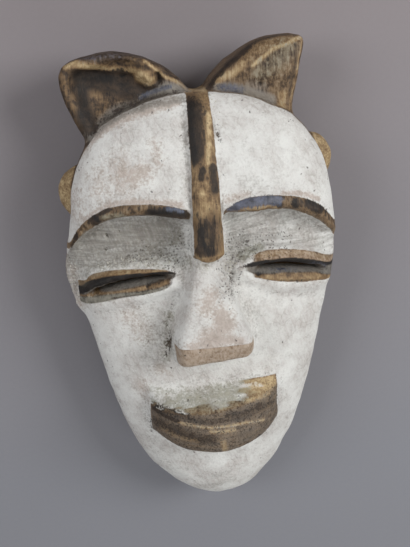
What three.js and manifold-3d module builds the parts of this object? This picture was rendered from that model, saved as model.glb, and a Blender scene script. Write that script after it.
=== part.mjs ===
// A carved wooden face mask with two upright ears, cut from one block and hollowed from behind.
// X runs across the face, Y from the chin to the top of the head, Z out of the face.
// It lies on its back rim, at Z = 0. Sizes are millimetres.
import * as THREE from "three";
import { mergeVertices } from "three/addons/utils/BufferGeometryUtils.js";
import Module from "manifold-3d";

const wasm = await Module();
wasm.setup();
const { smoothstep, euclideanModulo } = THREE.MathUtils;

// Driving dimensions of the face
const faceLength = 277; // chin tip to the notch between the upright ears
const faceWidth = 162; // across the cheekbones, at the eyes
const cheekDepth = 64; // back rim to the front of the cheeks
const foreheadDepth = 81; // back rim to the front of the forehead
const chinDepth = 29; // back rim to the edge that runs round the chin
const crownDepth = 53; // back rim to the top edge of the forehead
const rimDraft = 5; // how far the side walls lean in, down to the back rim

// Driving dimensions of the hollow
const wall = 15; // thickness left behind the cheeks and along the sides
const browWall = 18; // thickness left behind the forehead
const hollowDraft = 2; // how far the hollow opens out, down to the back rim
const cutThrough = 1; // how far its cut runs past the back rim

// Driving dimensions of the carving
const browRise = 3.2; // brows above the forehead
const browOverhang = 0.8; // brows past the forehead's lower edge
const browTaper = 9; // length over which their ends run out
const bandRise = 3; // central band above the forehead
const channelDepth = 2.4; // the cut on both sides of the band
const channelLeft = 5.5; // width of that cut on the left
const channelRight = 2.2; // and on the right
const orbitScoop = 3.8; // the eye sockets below the face's skin
const orbitEdge = 0.8; // their edges above it, where the cut runs out
const lidRise = 6.5; // upper eyelids above the cheeks
const lidEdge = 5.9; // their edge over the slit
const lidFoot = 0.8; // and where they meet the eye sockets
const lidHollow = 5.6; // depth of the eye's trough at the slit
const lowerLidRise = 4.6; // lower eyelids above the cheeks
const lowerLidEdge = 4.2; // their edge at the trough
const lowerLidFoot = 2.2; // and the step down to the cheeks
const lidCorner = 3; // both eyelids at the corners of the eye
const slitHeight = 3.4; // the slit that is cut through under the upper lid
const temple = 4.5; // the rough strips beside the eyes, beyond the cheeks
const templeTop = 2; // and above the edge of the face
const noseDepth = 93; // back rim to the nose's tip
const noseFall = 6; // how far the blunt end drops from the tip
const noseLean = 3; // how far its left corner lies below its right one
const mouthDepth = 85; // back rim to the front of the lips
const mouthWidth = 80; // across the lips
const mouthLine = 2.6; // depth of the line between the lips
const lipRound = 2; // how far the lips fall back towards their outer edges
const lipTop = 1.4; // the top of the mouth above the face, where its slope ends
const lipCorner = 7; // the corners of the mouth above the face
const lipSag = 10; // how far the lower lip hangs below its corners
const earReach = 8.5; // side ears beyond the temple
const earLength = 34; // side ears along the head
const earThickness = 22; // side ears from back to front
const earHeight = 25; // back rim to the middle of the side ears
const hornBack = 13; // back rim to the rear of the upright ears
const hornFront = 49; // back rim to their front
const hornBevel = 3; // their worn edges
const hornScoop = 11; // depth of the left one's hollow face
const hornRidge = 8; // height of the ridge down the right one

// Carving that follows the face is placed by shares of its width and length
const halfWidth = faceWidth / 2;
const middle = new THREE.Vector2(0, faceLength / 2);
const above = 2 * noseDepth;
const buried = 0.6 * wall;
const sunk = 0.25 * wall;

function at([across, up]) {
  return new THREE.Vector2(across * halfWidth, up * faceLength);
}

function curve(shares) {
  return new THREE.SplineCurve(shares.map(at));
}

function mix(from, to, share) {
  return from + (to - from) * share;
}

// Shapes that lie beside the middle are listed as on the right, and turned over for the left
const sides = { right: 1, left: -1 };

function sided(name, shares) {
  return shares.map(([across, up]) => [sides[name] * across, up]);
}

// A closed three.js geometry as a solid, turned right side out where its placing mirrored it
function solid(geometry) {
  geometry.deleteAttribute("normal");
  geometry.deleteAttribute("uv");
  const merged = mergeVertices(geometry);
  const vertProperties = new Float32Array(merged.attributes.position.array);
  const triVerts = new Uint32Array(merged.index.array);
  const made = new wasm.Manifold(new wasm.Mesh({ numProp: 3, vertProperties, triVerts }));
  if (made.volume() > 0) return made;
  const turned = triVerts.map((_, i) => triVerts[i - (i % 3) + 2 - (i % 3)]);
  return new wasm.Manifold(new wasm.Mesh({ numProp: 3, vertProperties, triVerts: turned }));
}

// A block whose points are placed by their shares across, up and out of it
function block(columns, rows, place) {
  const geometry = new THREE.BoxGeometry(1, 1, 1, columns, rows, 1);
  const position = geometry.attributes.position;
  for (let i = 0; i < position.count; i++) {
    const point = place(position.getX(i) + 0.5, position.getY(i) + 0.5, position.getZ(i) + 0.5);
    position.setXYZ(i, point.x, point.y, point.z);
  }
  return solid(geometry);
}

// An upright wall of material over a plan outline
function prism(points) {
  const shape = new THREE.Shape(points);
  return solid(new THREE.ExtrudeGeometry(shape, { depth: above, bevelEnabled: false }));
}

// The face's plan outline, up each side from the chin. The two sides are not alike
const jawAndTemple = {
  right: [
    [0.3, 0.03], [0.53, 0.11], [0.7, 0.22], [0.815, 0.35],
    [0.915, 0.51], [0.985, 0.65], [0.96, 0.755],
  ],
  left: [
    [0.2, 0.03], [0.49, 0.11], [0.67, 0.22], [0.79, 0.35],
    [0.895, 0.51], [0.985, 0.65], [0.945, 0.755],
  ],
};
const crownRight = [[0.875, 0.86], [0.66, 0.943], [0.35, 0.985]];
const crownLeft = [[-0.35, 0.985], [-0.66, 0.943], [-0.865, 0.86]];
const outline = [
  [0.04, 0.004],
  ...jawAndTemple.right,
  ...crownRight,
  [0, 1],
  ...crownLeft,
  ...sided("left", jawAndTemple.left).reverse(),
].map(at);
const rim = new THREE.CatmullRomCurve3(
  outline.map((point) => new THREE.Vector3(point.x, point.y, 0)),
  true,
);

// Distance from the middle of the face to its outline, by direction
const rimSamples = rim.getSpacedPoints(360).map((point) => {
  const offset = new THREE.Vector2(point.x, point.y).sub(middle);
  return { turn: offset.angle(), reach: offset.length() };
});
rimSamples.sort((a, b) => a.turn - b.turn);

function rimReach(offset) {
  const turn = offset.angle();
  const next = rimSamples.findIndex((sample) => sample.turn >= turn);
  const after = rimSamples[Math.max(next, 0)];
  const before = rimSamples.at(next > 0 ? next - 1 : -1);
  const span = euclideanModulo(after.turn - before.turn, 2 * Math.PI);
  const share = euclideanModulo(turn - before.turn, 2 * Math.PI) / (span || 1);
  return mix(before.reach, after.reach, Math.min(share, 1));
}

// Height of a domed skin of the face over a point of the plan
const domePower = 2.6;

function edgeHeight(y) {
  return mix(chinDepth, crownDepth, y / faceLength);
}

function skin(x, y, depth) {
  const offset = new THREE.Vector2(x, y).sub(middle);
  const share = Math.min(offset.length() / rimReach(offset), 1);
  const edge = edgeHeight(y);
  return edge + (depth - edge) * Math.sqrt(1 - share ** domePower);
}

// A domed body under such a skin, set in from the outline, from a floor up
function dome(columns, rings, depth, inset, lowered, floor, draft) {
  const across = Array.from({ length: rings + 1 }, (_, i) => Math.sin((i / rings) * 0.5 * Math.PI));
  const profile = [...across.map((share) => new THREE.Vector2(share, 1)), new THREE.Vector2(1, 0)];
  profile.push(new THREE.Vector2(0, 0));
  const geometry = new THREE.LatheGeometry(profile, columns);
  const position = geometry.attributes.position;
  for (let i = 0; i < position.count; i++) {
    const row = i % profile.length;
    const point = rim.getPointAt((Math.floor(i / profile.length) % columns) / columns);
    const edge = new THREE.Vector2(point.x, point.y).sub(middle);
    const share = profile[row].x;
    const onFloor = profile[row].y === 0;
    const full = edge.clone().multiplyScalar(share).add(middle);
    const kept = 1 - (inset + (onFloor ? draft : 0)) / edge.length();
    const placed = edge.multiplyScalar(share * kept).add(middle);
    const height = onFloor ? floor : skin(full.x, full.y, depth) - lowered;
    position.setXYZ(i, placed.x, placed.y, height);
  }
  return solid(geometry);
}

// Forehead: a raised field over the eyes, ending in the ledge that carries the brows
const browLow = {
  right: [
    [0.1, 0.762], [0.18, 0.768], [0.3, 0.767], [0.44, 0.767], [0.54, 0.765],
    [0.65, 0.753], [0.74, 0.741], [0.83, 0.722], [0.92, 0.694], [1.05, 0.655],
  ],
  left: [
    [0.1, 0.755], [0.15, 0.761], [0.22, 0.766], [0.31, 0.772], [0.42, 0.776],
    [0.53, 0.775], [0.64, 0.769], [0.76, 0.755], [0.87, 0.73], [0.95, 0.697], [1.05, 0.65],
  ],
};
const browHigh = {
  right: [
    [0.13, 0.778], [0.23, 0.796], [0.35, 0.804], [0.53, 0.802],
    [0.68, 0.789], [0.82, 0.762], [0.92, 0.728], [1, 0.695],
  ],
  left: [
    [0.13, 0.787], [0.3, 0.81], [0.42, 0.818], [0.53, 0.815],
    [0.68, 0.795], [0.8, 0.766], [0.9, 0.732], [1, 0.695],
  ],
};

function forehead() {
  const low = Object.keys(sides).map((name) => curve(sided(name, browLow[name])).getPoints(20));
  const [right, left] = low;
  const glabella = [[-0.12, 0.7], [-0.1, 0.67], [0.1, 0.67], [0.12, 0.7]].map(at);
  const corners = [[1.1, 1.1], [-1.1, 1.1]].map(at);
  const plan = [...left.reverse(), ...glabella, ...right, ...corners];
  return dome(80, 9, foreheadDepth, 0, 0, 0, rimDraft).intersect(prism(plan));
}

// A brow's rise over the forehead, from its lower edge to its upper one, where it is bevelled
const browProfile = [0.8, 1, 0.9, 0.25];

function brow(name) {
  const low = curve(sided(name, browLow[name].slice(1)));
  const high = curve(sided(name, browHigh[name]));
  return block(16, 3, (along, up, out) => {
    const point = low.getPoint(along * 0.93).lerp(high.getPoint(along), up);
    point.y -= (1 - up) * browOverhang;
    const top = skin(point.x, point.y, foreheadDepth);
    const end = (low.getLength() * Math.min(along, 1 - along)) / browTaper;
    const rise = browRise * mix(0.4, 1, Math.min(end, 1)) * browProfile[Math.round(3 * up)];
    return new THREE.Vector3(point.x, point.y, top + (out ? rise : -buried));
  });
}

// Central band, from the notch down to the root of the nose, and the cut beside it
const [bandFoot, bandTop] = [0.672, 0.995];

function bandHalf(up) {
  return mix(0.103, 0.072, (up - bandFoot) / (bandTop - bandFoot)) * halfWidth;
}

function band() {
  return block(2, 12, (across, along, out) => {
    const up = mix(bandFoot, bandTop, along);
    const y = up * faceLength;
    const top = skin(0, y, foreheadDepth) + bandRise;
    const x = mix(-1, 1, across) * bandHalf(up);
    return new THREE.Vector3(x, y, out ? top : top - bandRise - buried);
  });
}

function channel() {
  return block(1, 12, (across, along, out) => {
    const up = mix(bandFoot + 0.07, bandTop + 0.02, along);
    const y = up * faceLength;
    const x = across ? bandHalf(up) + channelRight : -bandHalf(up) - channelLeft * mix(0.4, 1, along);
    return new THREE.Vector3(x, y, out ? above : skin(0, y, foreheadDepth) - channelDepth);
  });
}

// Eyes: a raised almond, a trough under the upper lid, and the slit at its deepest line
const eyeHigh = {
  right: [[0.185, 0.641], [0.35, 0.665], [0.52, 0.672], [0.72, 0.66], [0.88, 0.635], [0.985, 0.612]],
  left: [[0.185, 0.652], [0.33, 0.662], [0.48, 0.662], [0.62, 0.655], [0.77, 0.638], [0.985, 0.59]],
};
const eyeLow = {
  right: [[0.185, 0.622], [0.41, 0.587], [0.56, 0.573], [0.78, 0.563], [0.88, 0.562], [0.965, 0.565]],
  left: [[0.185, 0.605], [0.35, 0.589], [0.49, 0.577], [0.64, 0.567], [0.83, 0.557], [0.985, 0.552]],
};
const slit = {
  right: [[0.24, 0.634], [0.395, 0.639], [0.605, 0.635], [0.79, 0.62], [0.95, 0.601]],
  left: [[0.21, 0.635], [0.407, 0.635], [0.63, 0.626], [0.815, 0.607], [0.95, 0.583]],
};

// Rows across an eye, from the lower lid's foot to the upper lid's: the share of the way up from
// the low edge to the slit, or from the slit to the high edge, and the height above the cheek
const lidRows = [
  { below: 0, height: lowerLidFoot },
  { below: 0.3, height: lowerLidRise },
  { below: 0.5, height: lowerLidEdge },
  { below: 0.96, height: lidRise - lidHollow },
  { over: 0, height: lidRise - lidHollow },
  { over: 0.06, height: lidEdge },
  { over: 0.5, height: lidRise },
  { over: 1, height: lidFoot },
];

function lids(name) {
  const high = curve(sided(name, eyeHigh[name]));
  const low = curve(sided(name, eyeLow[name]));
  const line = curve(sided(name, slit[name]));
  return block(16, lidRows.length - 1, (along, up, out) => {
    const { below, over, height } = lidRows[Math.round(up * (lidRows.length - 1))];
    const deep = line.getPoint(along);
    const edge = over === undefined ? low.getPoint(along) : high.getPoint(along);
    const point = over === undefined ? edge.clone().lerp(deep, below) : deep.clone().lerp(edge, over);
    const opening = Math.sin(mix(0.06, 0.94, along) * Math.PI) ** 0.35;
    const rise = out ? mix(lidCorner, height, opening) : -buried;
    return new THREE.Vector3(point.x, point.y, skin(point.x, point.y, cheekDepth) + rise);
  });
}

function pierced(name) {
  const line = curve(sided(name, slit[name]));
  return block(12, 1, (along, up, out) => {
    const point = line.getPoint(mix(0.04, 0.9, along));
    const height = slitHeight * Math.sin(mix(0.1, 0.9, along) * Math.PI) ** 0.5;
    const back = skin(point.x, point.y, cheekDepth) - 2 * wall;
    return new THREE.Vector3(point.x, point.y - (1 - up) * height, out ? above : back);
  });
}

// Eye sockets: a shallow scoop from each brow down to the eyelid
function socket(name) {
  const low = curve(sided(name, eyeHigh[name]));
  const high = curve(sided(name, browLow[name].slice(1)));
  return block(12, 6, (along, up, out) => {
    const point = low.getPoint(along).lerp(high.getPoint(along), up);
    const hollowed = Math.sin(Math.PI * up) ** 0.6 * Math.sin(Math.PI * mix(0.04, 0.96, along)) ** 0.4;
    const floor = skin(point.x, point.y, cheekDepth) + orbitEdge - (orbitEdge + orbitScoop) * hollowed;
    return new THREE.Vector3(point.x, point.y, out ? above : floor);
  });
}

// Temples: a strip of the block left standing beside each eye
function templeStrip(name) {
  const reach = temple * { right: 0.35, left: 1 }[name];
  const span = { right: [0.57, 0.67], left: [0.535, 0.67] }[name];
  return block(1, 8, (across, along, out) => {
    const y = mix(...span, along) * faceLength;
    const side = rimReach(new THREE.Vector2(sides[name] * halfWidth, y).sub(middle));
    const run = Math.sqrt(side ** 2 - (y - middle.y) ** 2);
    const proud = run + (out ? reach * Math.sin(mix(0.15, 0.9, along) * Math.PI) ** 0.4 : -sunk / 4);
    const height = out ? edgeHeight(y) + templeTop : chinDepth / 2;
    return new THREE.Vector3(sides[name] * (across ? proud : run - buried), y, height);
  });
}

// Nose: a flat wedge that widens to a blunt end, with sloping flanks
function nose() {
  const root = mix(cheekDepth, foreheadDepth, 0.42);
  const stations = [
    { up: 0.69, top: 0.07, foot: 0.11, height: root },
    { up: 0.65, top: 0.09, foot: 0.14, height: mix(root, noseDepth, 0.07) },
    { up: 0.57, top: 0.175, foot: 0.24, height: mix(root, noseDepth, 0.5) },
    { up: 0.508, top: 0.262, foot: 0.32, height: noseDepth },
    { up: 0.465, top: 0.25, foot: 0.35, height: noseDepth - noseFall },
    { up: 0.446, top: 0.23, foot: 0.33, height: cheekDepth },
  ];
  return block(3, stations.length - 1, (across, along, out) => {
    const { up, top, foot, height } = stations[Math.round(along * (stations.length - 1))];
    const column = Math.round(across * 3);
    const share = [-foot, -top, top, 0.9 * foot][column];
    const x = share * halfWidth;
    const y = up * faceLength - (along > 0.7 && column < 2 ? noseLean : 0);
    const skinHeight = skin(x, y, cheekDepth);
    const onTop = out && (column === 1 || column === 2);
    return new THREE.Vector3(x, y, onTop ? height : skinHeight - (out ? 0.25 * sunk : buried));
  });
}

// Mouth: one block with a sloping top, two lips and the line between them
function mouth() {
  const rows = [
    { up: 0.222, sag: 1, toFace: 1, back: lipTop + sunk / 2 },
    { up: 0.229, sag: 1, toFace: 0, back: 2 * lipRound },
    { up: 0.262, sag: 0.5, toFace: 0, back: lipRound / 2 },
    { up: 0.289, sag: 0, toFace: 0, back: 0 },
    { up: 0.295, sag: 0, toFace: 0, back: mouthLine },
    { up: 0.301, sag: 0, toFace: 0, back: lipRound / 4 },
    { up: 0.335, sag: 0, toFace: 0, back: lipRound },
    { up: 0.347, sag: 0, toFace: 1 / 3, back: 0 },
    { up: 0.359, sag: 0, toFace: 2 / 3, back: 0 },
    { up: 0.371, sag: 0, toFace: 1, back: 0 },
    { up: 0.377, sag: 0, toFace: 1, back: lipTop + sunk },
  ];
  return block(16, rows.length - 1, (across, along, out) => {
    const { up, sag, toFace, back } = rows[Math.round(along * (rows.length - 1))];
    const side = mix(-1, 1, across);
    const x = side * mouthWidth * 0.5;
    const y = up * faceLength + sag * lipSag * Math.abs(side) ** 3;
    const skinHeight = skin(x, y, cheekDepth);
    const front = mix(mouthDepth, skinHeight + lipCorner, side ** 2);
    const top = mix(front, skinHeight + lipTop, toFace) - back;
    return new THREE.Vector3(x, y, out ? top : skinHeight - buried);
  });
}

// Side ears: low rounded lugs behind the temples
const earUp = { right: 0.828, left: 0.79 };

function sideEar(name) {
  const geometry = new THREE.SphereGeometry(1, 20, 12);
  const reach = 0.93 * halfWidth + earReach;
  const overlap = 2 * earReach;
  geometry.scale(overlap, earLength / 2, earThickness / 2);
  geometry.translate(sides[name] * (reach - overlap), earUp[name] * faceLength, earHeight);
  return solid(geometry);
}

// Upright ears: each a plate between four edges, with its own front
const hornEdges = {
  left: {
    root: [[-0.74, 0.87], [-0.4, 0.93], [-0.02, 0.95]],
    near: [[-0.74, 0.87], [-0.765, 0.905], [-0.84, 0.948], [-0.9, 1], [-0.92, 1.045]],
    top: [
      [-0.92, 1.045], [-0.87, 1.058], [-0.77, 1.069],
      [-0.62, 1.079], [-0.46, 1.076], [-0.3, 1.062],
    ],
    far: [[-0.02, 0.95], [-0.025, 0.985], [-0.075, 1.01], [-0.16, 1.036], [-0.3, 1.062]],
  },
  right: {
    root: [[0.05, 0.95], [0.35, 0.93], [0.64, 0.88]],
    near: [[0.05, 0.95], [0.09, 1], [0.175, 1.03], [0.27, 1.055], [0.4, 1.08]],
    top: [[0.4, 1.08], [0.5, 1.09], [0.605, 1.094], [0.7, 1.093], [0.775, 1.087]],
    far: [[0.64, 0.88], [0.68, 0.937], [0.705, 0.98], [0.74, 1.042], [0.775, 1.087]],
  },
};

// The left one is scooped like a cat's ear, with a rim along its top
function leftFront(across, up) {
  const bowl = smoothstep(across, 0.08, 0.32) * (1 - smoothstep(across, 0.6, 0.88));
  const depth = smoothstep(up, 0.05, 0.6) * (1 - smoothstep(up, 0.8, 0.93));
  return hornFront + hornBevel * up - hornScoop * bowl * depth;
}

// The right one falls away on both sides of a ridge that runs down from its tip
function rightFront(across, up) {
  const ridge = Math.max(0, 1 - 1.3 * Math.abs(across - up)) * smoothstep(up, 0.3, 0.7);
  return hornFront + hornRidge * (ridge - 0.6 * up);
}

function horn(edges, front) {
  const { root, near, top, far } = Object.fromEntries(
    Object.entries(edges).map(([name, shares]) => [name, curve(shares)]),
  );
  const foot = [root.getPoint(0), root.getPoint(1)];
  const head = [top.getPoint(0), top.getPoint(1)];
  return block(12, 12, (across, up, out) => {
    const corners = foot[0].clone().lerp(foot[1], across);
    corners.lerp(head[0].clone().lerp(head[1], across), up);
    const point = root.getPoint(across).lerp(top.getPoint(across), up);
    point.add(near.getPoint(up).lerp(far.getPoint(up), across)).sub(corners);
    const worn = Math.max(Math.abs(2 * across - 1), up) > 0.99 ? hornBevel : 0;
    const back = mix(hornBack, 2 * hornBack, up ** 2) + worn;
    return new THREE.Vector3(point.x, point.y, out ? front(across, up) - worn : back);
  });
}

// The inside, cut from behind: one hollow for the face and a deeper one under the forehead
function hollow() {
  const face = dome(48, 7, cheekDepth, wall, wall, -cutThrough, -hollowDraft);
  const brows = dome(48, 7, foreheadDepth, wall, browWall, -cutThrough, -hollowDraft);
  const field = [[1, 0.8], [1, 1.1], [-1, 1.1], [-1, 0.8], [0, 0.82]].map(at);
  return face.add(brows.intersect(prism(field)));
}

function carve() {
  let body = dome(80, 9, cheekDepth, 0, 0, 0, rimDraft);
  for (const name of Object.keys(sides)) body = body.subtract(socket(name));
  body = body.add(forehead()).subtract(channel());
  body = body.add(band()).add(nose()).add(mouth());
  for (const name of Object.keys(sides)) {
    body = body.add(brow(name)).add(lids(name)).add(templeStrip(name)).add(sideEar(name));
    body = body.subtract(pierced(name));
  }
  body = body.add(horn(hornEdges.left, leftFront)).add(horn(hornEdges.right, rightFront));
  return body.subtract(hollow());
}

// The finished mesh, with its origin under the middle of its outline
function meshOf(body, name, material) {
  const { vertProperties, triVerts } = body.getMesh();
  const geometry = new THREE.BufferGeometry();
  geometry.setAttribute("position", new THREE.BufferAttribute(vertProperties, 3));
  geometry.setIndex(new THREE.BufferAttribute(triVerts, 1));
  geometry.computeBoundingBox();
  const { min, max } = geometry.boundingBox;
  geometry.translate(-(min.x + max.x) / 2, -(min.y + max.y) / 2, -min.z);
  geometry.computeVertexNormals();
  const mesh = new THREE.Mesh(geometry, material);
  mesh.name = name;
  return mesh;
}

const paintedWood = new THREE.MeshStandardMaterial({ color: 0xd9d5cb, roughness: 0.85, metalness: 0 });
const mask = new THREE.Group();
mask.add(meshOf(carve(), "mask", paintedWood));

export default mask;
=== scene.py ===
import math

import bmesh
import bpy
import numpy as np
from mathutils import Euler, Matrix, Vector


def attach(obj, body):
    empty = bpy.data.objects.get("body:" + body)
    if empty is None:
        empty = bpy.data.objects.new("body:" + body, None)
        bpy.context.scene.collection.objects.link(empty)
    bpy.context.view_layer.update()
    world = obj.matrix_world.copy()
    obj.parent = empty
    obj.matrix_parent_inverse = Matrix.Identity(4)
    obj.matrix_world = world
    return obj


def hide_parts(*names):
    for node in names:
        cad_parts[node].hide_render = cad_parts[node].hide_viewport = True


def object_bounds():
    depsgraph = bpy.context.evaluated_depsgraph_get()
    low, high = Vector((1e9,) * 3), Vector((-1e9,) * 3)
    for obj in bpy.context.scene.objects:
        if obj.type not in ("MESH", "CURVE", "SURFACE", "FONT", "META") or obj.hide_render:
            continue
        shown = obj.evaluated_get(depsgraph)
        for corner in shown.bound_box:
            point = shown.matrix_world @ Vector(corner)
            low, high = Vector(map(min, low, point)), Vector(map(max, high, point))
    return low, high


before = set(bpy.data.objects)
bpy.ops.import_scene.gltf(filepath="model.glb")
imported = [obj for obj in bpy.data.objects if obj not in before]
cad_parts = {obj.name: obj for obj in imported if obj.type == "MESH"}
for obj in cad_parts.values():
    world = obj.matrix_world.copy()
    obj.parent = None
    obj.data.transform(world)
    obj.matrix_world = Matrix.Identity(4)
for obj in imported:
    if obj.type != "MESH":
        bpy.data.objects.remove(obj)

# %% [markdown]
# A carved wooden face mask, painted with white kaolin clay, soot black and earth ochre.
# The real one is a single block of light wood: the carver cuts the face with an adze and a
# knife, hollows it from behind, burns or paints the ears and the band dark, and rubs the face
# with white clay. Handling then wears the clay off the high places and leaves dirt in the low
# ones, and here the low places also get painted shade. So this scene has one main piece. It
# starts from the CAD solid, which already has every main form, and adds in turn a soft worn
# surface, tool marks, paint, crumbs of clay and light.

CAD_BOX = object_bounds()
MM = 0.001
FACE_LENGTH = 277.0  # mm, chin tip to the notch between the upright ears
HALF_WIDTH = 81.0  # mm, middle line to the cheekbone
CHIN = round(CAD_BOX[0][1] / MM - 0.004 * FACE_LENGTH, 1)  # mm, where the face's length starts on Y
rng = np.random.default_rng(7)
print("CAD box, mm:", [[round(c * 1000, 1) for c in corner] for corner in CAD_BOX])

# %% [markdown]
# Wood that was cut with hand tools has no flat facets and no knife-sharp edge left after years
# of handling. The CAD mesh has both, and its triangles are long and thin, which is no use for
# fine relief. A voxel remesh turns it into even little quads, each about two of the picture's
# pixels wide, and keeps the form. The copy's doubles are merged first, because the CAD mesh is loose
# triangles and a remesh needs a closed skin. The hollow is plain, so it can do with far fewer
# faces: a decimation thins only the points whose normals look inwards or down.

# %% The carved block as an even mesh
VOXEL = 1.25  # mm
HOLLOW_KEPT = 0.3  # share of the hollow's faces that stay
HOLLOW_TOP = 108  # mm along Y, behind the top of the forehead
WELD = 0.01  # mm, within which doubles are merged
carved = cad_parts["mask"]
block = bpy.data.meshes.new("carved_block")
skin = bmesh.new()
skin.from_mesh(carved.data)
bmesh.ops.remove_doubles(skin, verts=skin.verts, dist=WELD * MM)
skin.to_mesh(block)
skin.free()
rough = bpy.data.objects.new("carved_block", block)
bpy.context.scene.collection.objects.link(rough)
remesh = rough.modifiers.new("even", "REMESH")
remesh.mode = "VOXEL"
remesh.voxel_size = VOXEL * MM
full = bpy.data.meshes.new_from_object(rough.evaluated_get(bpy.context.evaluated_depsgraph_get()))
rough.modifiers.clear()
rough.data = full
place, turned = np.empty(len(full.vertices) * 3), np.empty(len(full.vertices) * 3)
full.vertices.foreach_get("co", place)
full.vertex_normals.foreach_get("vector", turned)
place, turned = place.reshape(-1, 3), turned.reshape(-1, 3)
faces_in = (place[:, :2] * turned[:, :2]).sum(1) < 0
in_reach = (turned[:, 2] < 0.3) & (place[:, 1] < HOLLOW_TOP * MM)
looks_in = (faces_in & in_reach) | (turned[:, 2] < -0.5)
rough.vertex_groups.new(name="looks_in").add(np.flatnonzero(looks_in).tolist(), 1.0, "REPLACE")
thin = rough.modifiers.new("thin", "DECIMATE")
thin.vertex_group = "looks_in"
thin.vertex_group_factor = 1000
thin.ratio = 1 - (1 - HOLLOW_KEPT) * float(looks_in.mean())
even = bpy.data.meshes.new_from_object(rough.evaluated_get(bpy.context.evaluated_depsgraph_get()))
bpy.data.objects.remove(rough)
even.materials.clear()
even.calc_loop_triangles()
print("even mesh:", len(full.vertices), "points, thinned to", len(even.vertices))

# %% [markdown]
# The remeshed skin still shows the CAD facets. Each point is drawn to the middle of its
# neighbours, but only as far as their normals agree with its own. Shallow facets melt away,
# and a real edge, such as the brow's ledge, stays, because across it the normals differ.

# %% Melting the facets
points = np.empty(len(even.vertices) * 3)
even.vertices.foreach_get("co", points)
points = points.reshape(-1, 3) / MM
triangles = np.empty(len(even.loop_triangles) * 3, dtype=np.int64)
even.loop_triangles.foreach_get("vertices", triangles)
triangles = triangles.reshape(-1, 3)
edges = np.empty(len(even.edges) * 2, dtype=np.int64)
even.edges.foreach_get("vertices", edges)
near_a, near_b = edges.reshape(-1, 2).T


def gathered(index, values):
    """Sums of three-number values that belong to the same point."""
    return np.stack([np.bincount(index, values[:, k], len(points)) for k in range(3)], 1)


def normals_of(place):
    a, b, c = (place[triangles[:, k]] for k in range(3))
    face = np.cross(b - a, c - a)
    summed = sum(gathered(triangles[:, k], face) for k in range(3))
    return summed / np.maximum(np.linalg.norm(summed, axis=1, keepdims=True), 1e-9)


def eased(place, rounds, agreement, pull=0.5):
    """Each point moved towards its neighbours, less where the skin turns sharply."""
    for _ in range(rounds):
        normal = normals_of(place)
        turn = 1 - (normal[near_a] * normal[near_b]).sum(1)
        weight = np.exp(-turn / agreement)
        step = (place[near_b] - place[near_a]) * weight[:, None]
        moved = gathered(near_a, step) - gathered(near_b, step)
        total = np.bincount(near_a, weight, len(points)) + np.bincount(near_b, weight, len(points))
        place = place + pull * moved / np.maximum(total, 1e-6)[:, None]
    return place


points = eased(points, rounds=26, agreement=0.05)
points = eased(points, rounds=2, agreement=0.6, pull=0.35)
normal = normals_of(points)
print("triangles:", len(triangles), "box", points.min(0).round(1), points.max(0).round(1))

# %% [markdown]
# Everything that follows, relief as well as paint, asks where a point lies on the face. These
# lines are the layout, in shares of the half width and of the length. OUTLINE, BROW_LOW and
# EYE_HIGH are lines that the solid was cut to. BROW_PAINT and EYE_PAINT are the edges of the
# paint, which the painter drew a little off the carving; the black band along each eye's slit,
# which EYE_PAINT bounds, is painted shade. Each gives a distance in millimetres.

# %% The layout of the face
across = points[:, 0] / HALF_WIDTH
up = (points[:, 1] - CHIN) / FACE_LENGTH
side = np.where(across < 0, 0, 1)  # 0 is the left of the picture, 1 the right
away = np.abs(across)

OUTLINE = {
    1: [(0.04, 0.004), (0.3, 0.03), (0.53, 0.11), (0.7, 0.22), (0.815, 0.35), (0.915, 0.51),
        (0.985, 0.65), (0.96, 0.755), (0.875, 0.86), (0.66, 0.943), (0.35, 0.985), (0, 1)],
    0: [(0.04, 0.004), (0.2, 0.03), (0.49, 0.11), (0.67, 0.22), (0.79, 0.35), (0.895, 0.51),
        (0.985, 0.65), (0.945, 0.755), (0.865, 0.86), (0.66, 0.943), (0.35, 0.985), (0, 1)],
}
BROW_LOW = {
    1: [(0.1, 0.762), (0.18, 0.768), (0.3, 0.767), (0.44, 0.767), (0.54, 0.765), (0.65, 0.753),
        (0.74, 0.741), (0.83, 0.722), (0.92, 0.694), (1.05, 0.655)],
    0: [(0.1, 0.755), (0.15, 0.761), (0.22, 0.766), (0.31, 0.772), (0.42, 0.776), (0.53, 0.775),
        (0.64, 0.769), (0.76, 0.755), (0.87, 0.73), (0.95, 0.697), (1.05, 0.65)],
}
BROW_PAINT = {  # the painted band's lower and upper line
    "low": {
        1: [(0.139, 0.761), (0.21, 0.759), (0.314, 0.758), (0.421, 0.758), (0.53, 0.756),
            (0.641, 0.748), (0.723, 0.738), (0.824, 0.721), (0.897, 0.7), (0.984, 0.668)],
        0: [(0.121, 0.748), (0.207, 0.753), (0.267, 0.757), (0.368, 0.76), (0.47, 0.762),
            (0.572, 0.761), (0.677, 0.756), (0.788, 0.742), (0.905, 0.716), (0.96, 0.69)]},
    "top": {
        1: [(0.14, 0.776), (0.195, 0.789), (0.269, 0.796), (0.375, 0.798), (0.482, 0.796),
            (0.592, 0.791), (0.707, 0.78), (0.806, 0.761), (0.888, 0.736), (0.955, 0.71)],
        0: [(0.128, 0.78), (0.2, 0.788), (0.261, 0.794), (0.361, 0.799), (0.462, 0.8),
            (0.564, 0.799), (0.669, 0.793), (0.757, 0.778), (0.838, 0.76), (0.902, 0.737),
            (0.959, 0.704)]},
}
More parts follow.
